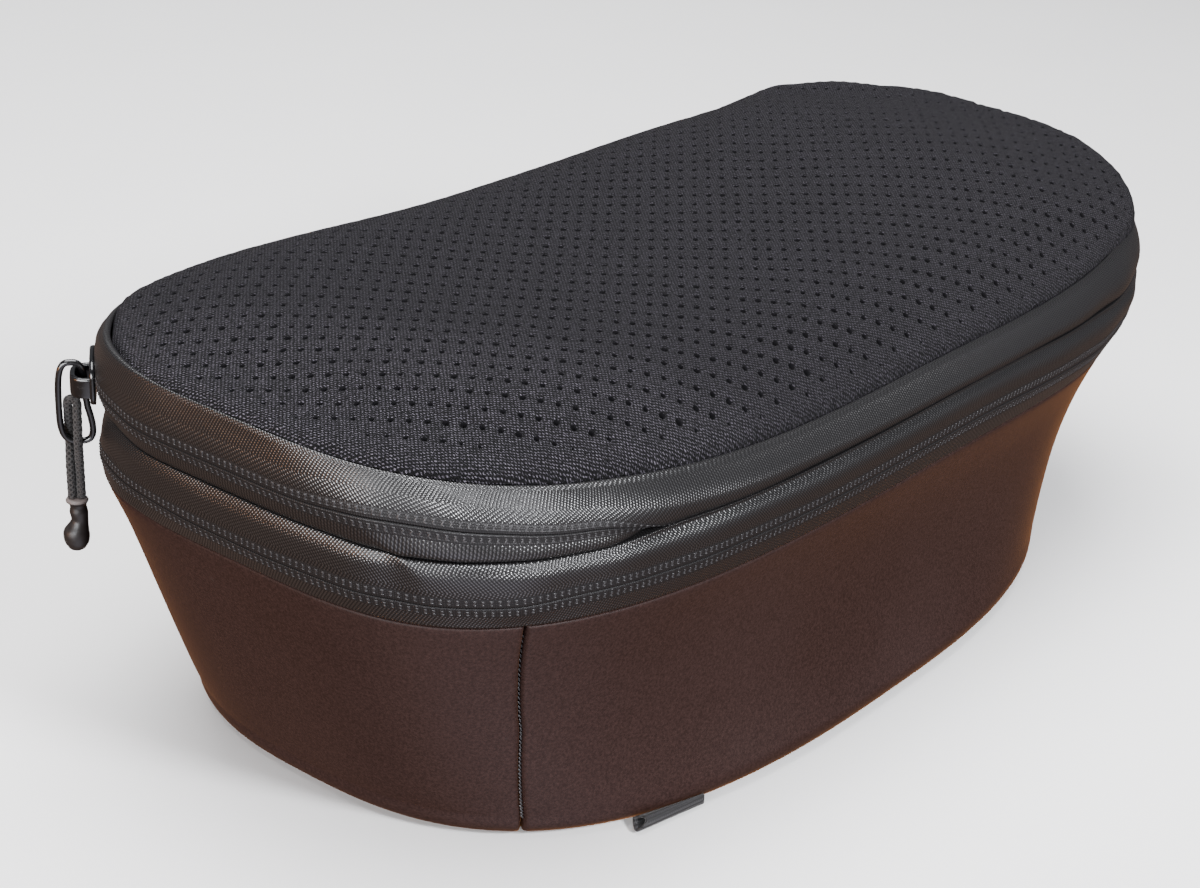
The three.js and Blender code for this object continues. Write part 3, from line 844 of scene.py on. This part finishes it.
def make_slider():
    """Slider plate with rounded edges, and the arched bridge that holds the ring."""
    turn = turns(SLIDER_SIDES)
    along = SLIDER_HALF_LENGTH * blunt(np.cos(turn), SLIDER_POWER)
    up = (SLIDER_HALF_HEIGHT - SLIDER_TAPER * np.cos(turn)) * blunt(np.sin(turn), SLIDER_POWER)
    rows = [on_spot(np.full(SLIDER_SIDES, out), along * reach, up * reach) for reach, out in SLIDER_LAYERS]
    plate = grid_object("zip_slider_plate", np.array(rows)[::-1], METAL)
    add_piece(plate, "bag", "black_metal", "zip_slider")

    t = np.linspace(0, 1, BRIDGE_STEPS)
    foot, near, far = (1 - t) ** 3, 3 * t * (1 - t) ** 2, 3 * t**2 * (1 - t)
    curve_out = BRIDGE["root"] * foot + BRIDGE["reach"] * (near + far + t**3)
    curve_along = -BRIDGE["half"] * (foot + near + far / 2)
    path = np.stack([curve_out, curve_along], -1)
    path = np.concatenate([path, path[-2::-1] * (1, -1)])
    heading = unit(np.gradient(path, axis=0))
    around = turns(BRIDGE_SIDES)
    thick = BRIDGE["thick"] * blunt(np.cos(around), SLIDER_POWER)
    lift = BRIDGE["lift"] + BRIDGE["half_height"] * blunt(np.sin(around), BRIDGE_POWER)
    out = path[:, :1] + heading[:, 1:] * thick
    across = path[:, 1:] - heading[:, :1] * thick
    grid = on_spot(out, across, np.broadcast_to(lift, out.shape))
    bridge = grid_object("zip_slider_bridge", grid, METAL)
    add_piece(bridge, "bag", "black_metal")


# Bands, zips and shell round the bag

ANGLES = even_angles(1.0, COLUMNS + 1)[0][:-1]


def strip(name, node, rows, material, slot_name):
    """Band round the bag through rows of level, distance out and drop."""
    grid = np.stack([wall(ANGLES, v, out, drop) for v, out, drop in rows])
    return add_piece(grid_object(name, grid, material), "bag", slot_name, node)


def flat_rows(start, end, count):
    return [(v, 0.0, 0.0) for v in np.linspace(start, end, count)]


# Rows of the bands: level, distance out and drop, or first and last level and count
LIP_STEPS = 9
UPPER_INSIDE = (0.4, 0.08, 7)
UPPER_FLAT = (0.07, 0.5, 14)
UPPER_END = [(0.515, -0.15, 0), (0.53, -0.6, 0)]
MIDDLE_START = [(0.73, -0.6, 0), (0.745, -0.15, 0)]
MIDDLE_FLAT = (0.76, 0.94, 9)
LOWER_FLAT = (1.055, 1.475, 15)
LOWER_END = [(1.49, -0.15, 0), (1.505, -0.6, 0)]
TRIM_START = [(1.725, -0.6, 0), (1.74, -0.15, 0)]
TRIM_FLAT = (1.755, 1.965, 9)
TRIM_END = [(1.978, -0.35, 0), (1.988, -1.4, 0)]

# Rows at the fold: level, and distance out where the fold is shallow and where it is deep
FOLD_UPPER = (
    (0.955, 0, 0), (0.97, -0.05, -0.08), (0.982, -0.2, -0.4), (0.991, -0.5, -1.6), (0.998, -1.3, -5.0),
)
FOLD_LOWER = (
    (1.0, -1.5, -5.4), (1.003, -0.6, -2.2), (1.008, -0.25, -0.9), (1.016, -0.08, -0.3), (1.03, 0, -0.05),
)


def fold_rows(table):
    deep = between(ANGLES, CREASE_ANGLES)
    return [(v, shallow + (far - shallow) * deep, 0.0) for v, shallow, far in table]


def make_bands():
    thick = lip_wall(ANGLES)
    inside = [(v, -thick, 0.0) for v in np.linspace(*UPPER_INSIDE)]
    lip_turn = np.radians(np.linspace(180, 0, LIP_STEPS))
    lip = [(0.0, 0.5 * thick * (np.cos(t) - 1), 0.5 * thick * (1 - np.sin(t))) for t in lip_turn]
    bands = {
        "upper_band": inside + lip + flat_rows(*UPPER_FLAT) + UPPER_END,
        "middle_band": MIDDLE_START + flat_rows(*MIDDLE_FLAT) + fold_rows(FOLD_UPPER),
        "lower_band": fold_rows(FOLD_LOWER) + flat_rows(*LOWER_FLAT) + LOWER_END,
        "lower_trim": TRIM_START + flat_rows(*TRIM_FLAT) + TRIM_END,
    }
    for node, rows in bands.items():
        strip(node + "_twill", node, rows, TWILL, "twill")


# Zips: level and half width, then the tape from its edge to the middle, by share and distance out
ZIPS = {"upper_zip": (0.63, 0.14), "lower_zip": (1.615, 0.155)}
TAPE_SHARE = (1.04, 0.98, 0.8, 0.6, 0.4, 0.18, 0.06, 0.03, 0)
TAPE_OUT = (-0.06, 0.02, 0.03, 0.06, 0.12, 0.16, 0.1, -0.25, -0.7)
STITCH_PITCH = 1.65
STITCH_SPREAD = 4
STITCH_SIZES = (0.85, 1.1)
# Rows of stitches: sides of the middle, share, half sizes, slant in degrees and distance out
STITCH_ROWS = (
    ((-1, 1), 0.58, (0.9, 0.3, 0.16), 108.0, 0.02),
    ((-1, 1), 0.39, (0.42, 0.17, 0.24), 12.0, 0.08),
    ((-1, 1), 0.77, (0.42, 0.17, 0.22), 12.0, 0.02),
    ((1,), 0.16, (0.6, 0.12, 0.12), 0.0, 0.06),
)


def make_zip(name, middle, half):
    outs = TAPE_OUT + TAPE_OUT[-2::-1]
    shares = [-share for share in TAPE_SHARE] + list(TAPE_SHARE[-2::-1])
    rows = [(middle + half * share, out, 0.0) for share, out in zip(shares, outs)]
    strip(name + "_tape", name, rows, ZIP, "zip_tape")
    count = int(even_angles(middle, 2)[1] / STITCH_PITCH)
    angle = even_angles(middle, count + 1)[0][:-1]
    threads = []
    for sides, share, size, slant, out in STITCH_ROWS:
        for side in sides:
            slants = slant + rng.normal(0, STITCH_SPREAD, count)
            sizes = np.array(size) * rng.uniform(*STITCH_SIZES, (count, 3))
            threads.append(stitch_row(angle, middle + side * half * share, out, slants, sizes))
    make_stitches(name + "_stitches", threads, "zip_tape")


# Shell: rows from its top edge down, steps in from an upright seam, and the stitches in that seam
EDGE_V = 4.0
SHELL_TOP = [(1.99, -1.6, 0), (1.994, -0.6, 0), (2.002, -0.2, 0), (2.02, -0.06, 0), (2.06, 0, 0)]
SHELL_FLAT = (2.14, EDGE_V, 56)
HEM_STEPS = 9
EDGE_STEPS = ((0.0, -2.4), (0.3, -1.1), (0.6, -0.35), (1.1, -0.06), (1.8, 0.0))
END_COLUMNS = 240
SIDE_COLUMNS = 560
RIPPLE_WAVES = 16
RIPPLE_LENGTHS = (24, 95)
RIPPLE_START = 6.28
RIPPLE_SIZE = 0.4
RIPPLE_DOWN = 30
RIPPLE_FROM = 2.05
RIPPLE_RISE = 0.3
RIPPLE_FALL = 0.2
SEAM_STITCH_V = (2.1, 3.99, 44)
SEAM_STITCH = (0.75, 0.24, 0.26)
SEAM_SIZES = (0.9, 1.1)
SEAM_SLANT = (62, 6)
SEAM_DEPTH = ((2, 3.2, 4), (-1.5, -0.9, -0.35))


def ripple(u, w):
    """Slow unevenness of padded cloth, in millimetres."""
    total = np.zeros(np.broadcast(u, w).shape)
    for _ in range(RIPPLE_WAVES):
        heading = rng.uniform(0, 2 * np.pi)
        length = rng.uniform(*RIPPLE_LENGTHS)
        way = u * np.cos(heading) + w * np.sin(heading)
        start = rng.uniform(0, RIPPLE_START)
        total += np.sin(way * 2 * np.pi / length + start) * length / RIPPLE_LENGTHS[1]
    return total * RIPPLE_SIZE / np.sqrt(RIPPLE_WAVES)


def make_shell(name, node, from_side, to_side, turn, count):
    hem = np.radians(np.linspace(0, 90, HEM_STEPS))[1:]
    rows = SHELL_TOP + flat_rows(*SHELL_FLAT)
    rows += [(EDGE_V, -HEM_INSET * (1 - np.cos(t)), EDGE_HEIGHT * np.sin(t)) for t in hem]
    start, end = np.interp(3, SEAM_V, from_side), np.interp(3, SEAM_V, to_side) + turn
    even, length = even_angles(3, count, start, end)
    share = (even - start) / (end - start)
    steps = np.array(EDGE_STEPS)
    spots = np.linspace(0, length, count)
    first = np.interp(steps[:, 0], spots, share)
    last = np.interp(length - steps[::-1, 0], spots, share)
    inner = (share > first[-1] + 1e-6) & (share < last[0] - 1e-6)
    share = np.concatenate([first, share[inner], last])
    dip = np.concatenate([steps[:, 1], np.zeros(inner.sum()), steps[::-1, 1]])
    v, out, drop = (np.array(column)[:, None] for column in zip(*rows))
    low, high = np.interp(v, SEAM_V, from_side), np.interp(v, SEAM_V, to_side) + turn
    angle = low + (high - low) * share
    calm = np.clip((v - RIPPLE_FROM) / RIPPLE_RISE, 0, 1) * np.clip((EDGE_V - v) / RIPPLE_FALL, 0, 1)
    wavy = ripple(share * length, v * RIPPLE_DOWN) * calm
    grid = wall(angle, np.broadcast_to(v, angle.shape), out + dip + wavy, drop)
    panel = add_piece(grid_object(name, grid, SHELL, round_closed=False), "bag", "coated_shell", node)


def make_seam_stitches():
    threads = []
    for side in (SEAM_NEAR, SEAM_FAR):
        v = np.linspace(*SEAM_STITCH_V)
        slant = rng.normal(*SEAM_SLANT, len(v))
        size = np.array(SEAM_STITCH) * rng.uniform(*SEAM_SIZES, (len(v), 3))
        threads.append(stitch_row(np.interp(v, SEAM_V, side), v, np.interp(v, *SEAM_DEPTH), slant, size))
    make_stitches("shell_seam_stitches", threads, "coated_shell")


# Base: share of the way out, and height
BASE_GAP = 0.3
BASE_ROWS = ((0, 3), (0.5, 3), (0.985, 3), (1, 2.2), (1, 0.6), (0.996, 0), (0.9, 0), (0.5, 0), (0, 0))


def make_base():
    ring = wall(ANGLES, EDGE_V, -HEM_INSET - BASE_GAP, EDGE_HEIGHT)
    middle = np.array([LEVELS["shift"][4], 0, 0])
    rows = [(ring - middle) * (reach, reach, 0) + middle + (0, 0, z) for reach, z in BASE_ROWS]
    add_piece(grid_object("base_panel_cloth", np.array(rows), SHELL), "bag", "coated_shell", "base_panel")


# Mesh panel: a padded body, and over it a knit of cells, each with a hole

EDGE_COUNT = 4000
PAD_COLUMNS = 500
EDGE_ANGLES = even_angles(0.0, EDGE_COUNT + 1)[0][:-1]
LIP_SHARE = between(EDGE_ANGLES, LIP_ANGLES)
PAD_INSET = PAD_COVER + (lip_wall(EDGE_ANGLES) + PAD_GAP - PAD_COVER) * LIP_SHARE
PAD_RING = wall(EDGE_ANGLES, 0.0, -PAD_INSET, rim("lip", EDGE_ANGLES))
HANG_SHARE = between(EDGE_ANGLES + HALF_TURN, HANG_ANGLES)
PAD_EDGE = wall(EDGE_ANGLES, 0.0, HANG_OUT * HANG_SHARE - PAD_INSET, rim("lip", EDGE_ANGLES))
PAD_FILL = rim("lip", EDGE_ANGLES) * (1 - LIP_SHOWN * LIP_SHARE) + PAD_OVER * (1 - LIP_SHARE)
PAD_TURN = np.unwrap(np.arctan2(PAD_EDGE[:, 1], PAD_EDGE[:, 0]))
PAD_FAR = np.hypot(PAD_EDGE[:, 0], PAD_EDGE[:, 1])
SLOPE_STEP = 0.4
KNIT_SPAN = 60
KNIT_A = np.array([-2.75, 2.5])
KNIT_B = np.array([5.15, 3.9])
KNIT_UNIT = np.stack([unit(KNIT_A), unit(KNIT_B)], 1)
KNIT_LIFT = 0.3
CURL_FROM_EDGE = (0.1, 0.5, 1.1, 2.2)
CURL_LIFT = (-0.9, -0.35, -0.08, 0)
HANG_DROP = (-5, -2.8, -1.1, 0)
HOLE_A = 0.62
HOLE_B = 0.78
HOLE_SIDES = 8
HOLE_RINGS = ((2.0, 0.16), (1.15, -0.1), (0.86, -0.6), (0.62, -1.1))
HOLE_DEPTH = -1.3
HOLE_UNEVEN = (0.86, 1.16)
CORE_RING = 2
OPEN_LEAST = 0.05
OPEN_FADE = 5.0
OPEN_SPREAD = (0.82, 1.12)
CLOSED_SPOT = np.array([-129.0, -63.0])
CLOSED_REACH = 48.0
CLOSED_EDGE = 7.0
CLOSED_RIM = 1.5
FAR_WAY = np.array([0.79, 0.61])
FAR_FROM = (45.0, 125.0)
FAR_OPEN = (1.0, 0.6)


def at_edge(x, y, values):
    """Value at the panel's edge in the direction of a point."""
    turn = np.mod(np.arctan2(y, x) - PAD_TURN[0], 2 * np.pi) + PAD_TURN[0]
    return np.interp(turn, PAD_TURN, values, period=2 * np.pi)


def far_and_out(plan):
    """Distance of the panel's edge in the direction of plan points, and of the points themselves."""
    x, y = plan[..., 0], plan[..., 1]
    return at_edge(x, y, PAD_FAR), np.hypot(x, y)


def pad_height(x, y):
    reach = np.minimum(np.hypot(x, y) / at_edge(x, y, PAD_FAR), 1.0)
    edge, climb = at_edge(x, y, PAD_EDGE[:, 2]), at_edge(x, y, PAD_FILL)
    rim_share = np.clip((reach - PAD_CLIMB) / (1 - PAD_CLIMB), 0, 1)
    sag = PAD_MIDDLE + (edge - PAD_MIDDLE) * reach**2 + PAD_CROWN * (1 - reach**PAD_POWER)
    return sag + climb * rim_share**2 * (3 - 2 * rim_share)


def pad_points(plan, lift):
    """Points of the panel's top over plan points, lifted along its normal."""
    x, y = plan[..., 0], plan[..., 1]
    slope_x = (pad_height(x + SLOPE_STEP, y) - pad_height(x - SLOPE_STEP, y)) / (2 * SLOPE_STEP)
    slope_y = (pad_height(x, y + SLOPE_STEP) - pad_height(x, y - SLOPE_STEP)) / (2 * SLOPE_STEP)
    normal = unit(np.stack([-slope_x, -slope_y, np.ones_like(x)], -1))
    return np.stack([x, y, pad_height(x, y)], -1) + normal * np.asarray(lift)[..., None]


def flat_knit(plan):
    """Coordinates along the two directions of the knit."""
    return plan @ np.linalg.inv(KNIT_UNIT).T


# Pad: rows of its top by share of the way out and lift, then by distance from the edge and lift,
# drops of its side, and rows of its underside by share and depth
PAD_INNER = ((0, -2.6), (0.3, -2.6), (0.6, -2.6), (0.8, -2.6), (0.9, -2.4))
PAD_OUTER = ((5, -2.2), (3, -1.6), (1.5, -1.2), (0.6, -1.2))
PAD_SIDE = (1.6, 2.4)
PAD_UNDER = ((0.94, 5.5), (0.86, 8), (0.74, 9.5), (0.55, PAD_THICK), (0, PAD_THICK))


def make_pad():
    step = EDGE_COUNT // PAD_COLUMNS
    ring = PAD_RING[::step]
    far = np.hypot(ring[:, 0], ring[:, 1])
    shares = [(np.full(len(ring), reach), lift) for reach, lift in PAD_INNER]
    shares += [(1 - distance / far, lift) for distance, lift in PAD_OUTER]
    rows = [pad_points(ring[:, :2] * share[:, None], np.full(len(ring), lift)) for share, lift in shares]
    climb = PAD_FILL[::step, None] * UP
    rows += [ring + climb - (0, 0, PAD_SIDE[0]), ring - (0, 0, PAD_SIDE[1])]
    for reach, thick in PAD_UNDER:
        plan = ring[:, :2] * reach
        rows.append(np.concatenate([plan, (pad_height(*plan.T) - thick)[:, None]], 1))
    grid = np.array(rows)
    body = grid_object("back_panel_pad", grid, MESH, flat=flat_knit(grid[..., :2]))
    add_piece(body, "bag", "air_mesh", "back_panel")


def make_knit():
    """Four-sided cells, each with eight border points that neighbours share and a hole in the middle."""
    span = np.arange(-KNIT_SPAN, KNIT_SPAN + 1)
    i, j = (x.ravel() for x in np.meshgrid(span, span, indexing="ij"))
    centre = i[:, None] * KNIT_A + j[:, None] * KNIT_B
    border = np.array([(0, 0), (1, 0), (2, 0), (2, 1), (2, 2), (1, 2), (0, 2), (0, 1)])
    corner = centre[:, None] + (border - 1) / 2 @ np.stack([KNIT_A, KNIT_B])
    far, out = far_and_out(corner)
    keep = (out < far).any(1)
    i, j, centre = i[keep], j[keep], centre[keep]
    keys = np.stack([2 * i[:, None] + border[:, 0], 2 * j[:, None] + border[:, 1]], -1)
    unique, index = np.unique(keys.reshape(-1, 2), axis=0, return_inverse=True)
    index = index.reshape(len(i), HOLE_SIDES)
    plan = (unique[:, :1] / 2 - 0.5) * KNIT_A + (unique[:, 1:] / 2 - 0.5) * KNIT_B
    lift = np.full(len(plan), KNIT_LIFT)

    turn = np.arctan2(border[:, 1] - 1, border[:, 0] - 1)
    oval = np.cos(turn)[:, None] * KNIT_UNIT[:, 0] * HOLE_A + np.sin(turn)[:, None] * KNIT_UNIT[:, 1] * HOLE_B
    far, out = far_and_out(centre)
    near = np.exp(-((np.linalg.norm(centre - CLOSED_SPOT, axis=1) / CLOSED_REACH) ** 2))
    inner = (far - out - (CLOSED_RIM + CLOSED_EDGE * near)) / OPEN_FADE
    open_share = np.interp(inner, (0, 1), (OPEN_LEAST, 1.0)) * rng.uniform(*OPEN_SPREAD, len(i))
    open_share = open_share * np.interp(centre @ FAR_WAY, FAR_FROM, FAR_OPEN)
    uneven = rng.uniform(*HOLE_UNEVEN, (len(i), HOLE_SIDES, 1))
    plans, lifts = [plan], [lift]
    for k, (size, height) in enumerate(HOLE_RINGS):
        width = size * (open_share if k else 0.5 + 0.5 * open_share)
        plans.append((centre[:, None] + oval * uneven * width[:, None, None]).reshape(-1, 2))
        lifts.append(np.repeat(height * open_share if height < 0 else np.full(len(i), height), HOLE_SIDES))
    plans.append(centre)
    lifts.append(HOLE_DEPTH * open_share)
    plan, lift = np.concatenate(plans), np.concatenate(lifts)
    far, out = far_and_out(plan)
    out = np.maximum(out, 1e-6)
    lift = lift + np.interp(far - out, CURL_FROM_EDGE, CURL_LIFT)
    plan = plan * np.minimum(1, (far - CURL_FROM_EDGE[0]) / out)[:, None]
    points = pad_points(plan, lift)
    points[:, 2] += np.interp(far - out, CURL_FROM_EDGE, HANG_DROP) * at_edge(*plan.T, HANG_SHARE)

    around = np.arange(HOLE_SIDES)
    following = (around + 1) % HOLE_SIDES
    start, size = len(unique), len(i) * HOLE_SIDES
    rings = [index] + [start + k * size + np.arange(size).reshape(len(i), -1) for k in range(len(HOLE_RINGS))]
    faces, kinds = [], []
    for k, (outer, inner) in enumerate(zip(rings, rings[1:])):
        quads = [outer[:, around], inner[:, around], inner[:, following], outer[:, following]]
        quads = np.stack(quads, -1).reshape(-1, 4)
        faces += quads.tolist()
        kinds += [int(k >= CORE_RING)] * len(quads)
    tip = np.repeat((start + len(HOLE_RINGS) * size + np.arange(len(i)))[:, None], HOLE_SIDES, 1)
    caps = np.stack([rings[-1][:, around], tip, rings[-1][:, following]], -1).reshape(-1, 3)
    faces += caps.tolist()
    kinds += [1] * len(caps)
    uvs = flat_knit(plan)[np.concatenate([np.array(f) for f in faces])]
    knit = make_object("back_panel_knit", points, faces, uvs, [MESH, CORE], kinds)
    add_piece(knit, "bag", "air_mesh")


# Webbing loop, measured out from the bottom edge, along it and up
LOOP_STEPS = 56
LOOP_COLUMNS = 30
LOOP = {
    "angle": 237.6, "inset": 1.6, "reach": 5.0, "root": 1.0, "web": 0.7,
    "middle": 1.75, "height": 3.6, "hollow": 2.3, "half": 10.0, "slew": 0.17, "slant": 1.7,
}


def make_loop():
    """Folded webbing: a flat teardrop seen from its end, cut on a slant and drawn in at one end."""
    origin = wall(LOOP["angle"], EDGE_V, -LOOP["inset"])
    origin[2] = 0
    out = outward(LOOP["angle"], EDGE_V)
    along = np.array([-out[1], out[0], 0])
    turn = turns(LOOP_STEPS)
    across = np.linspace(LOOP["half"], -LOOP["half"], LOOP_COLUMNS)
    cut = np.clip(-across / LOOP["half"], 0, 1)
    grid = []
    sections = ((0, LOOP["reach"], LOOP["height"], slice(None)),
                (LOOP["root"], LOOP["reach"] - LOOP["web"], LOOP["hollow"], slice(None, None, -1)))
    for start, end, tall, order in sections:
        far = start + (end - start) * (1 - np.cos(turn)) / 2
        rise = np.sin(turn) * np.sin(turn / 2)
        place = across[order] + LOOP["slant"] * cut[order] * (1 + rise[:, None])
        drawn = far[:, None] - LOOP["slew"] * (place + LOOP["half"]) * (far / LOOP["reach"])[:, None]
        rows = origin + drawn[..., None] * out + place[..., None] * along
        rows = rows + (LOOP["middle"] + tall / 2 * rise)[:, None, None] * UP
        grid.append(rows)
    loop = grid_object("webbing_loop_folded", np.concatenate(grid, 1), WEBBING, down_closed=True)
    add_piece(loop, "bag", "webbing", "webbing_loop")


add_camera()
add_floor()
add_air()
for light_name, light in LIGHTS.items():
    add_light(light_name, *light)

cord, cord_path, cord_length = make_cord()
cord_end = make_cord_end()

make_ring()
make_slider()
make_bands()
for zip_name, zip_place in ZIPS.items():
    make_zip(zip_name, *zip_place)
make_shell("shell_end_cloth", "shell_end_panel", SEAM_FAR, SEAM_NEAR, 0, END_COLUMNS)
make_shell("shell_side_cloth", "shell_side_panel", SEAM_NEAR, SEAM_FAR, 360, SIDE_COLUMNS)
make_seam_stitches()
make_base()
make_pad()
make_knit()
make_loop()
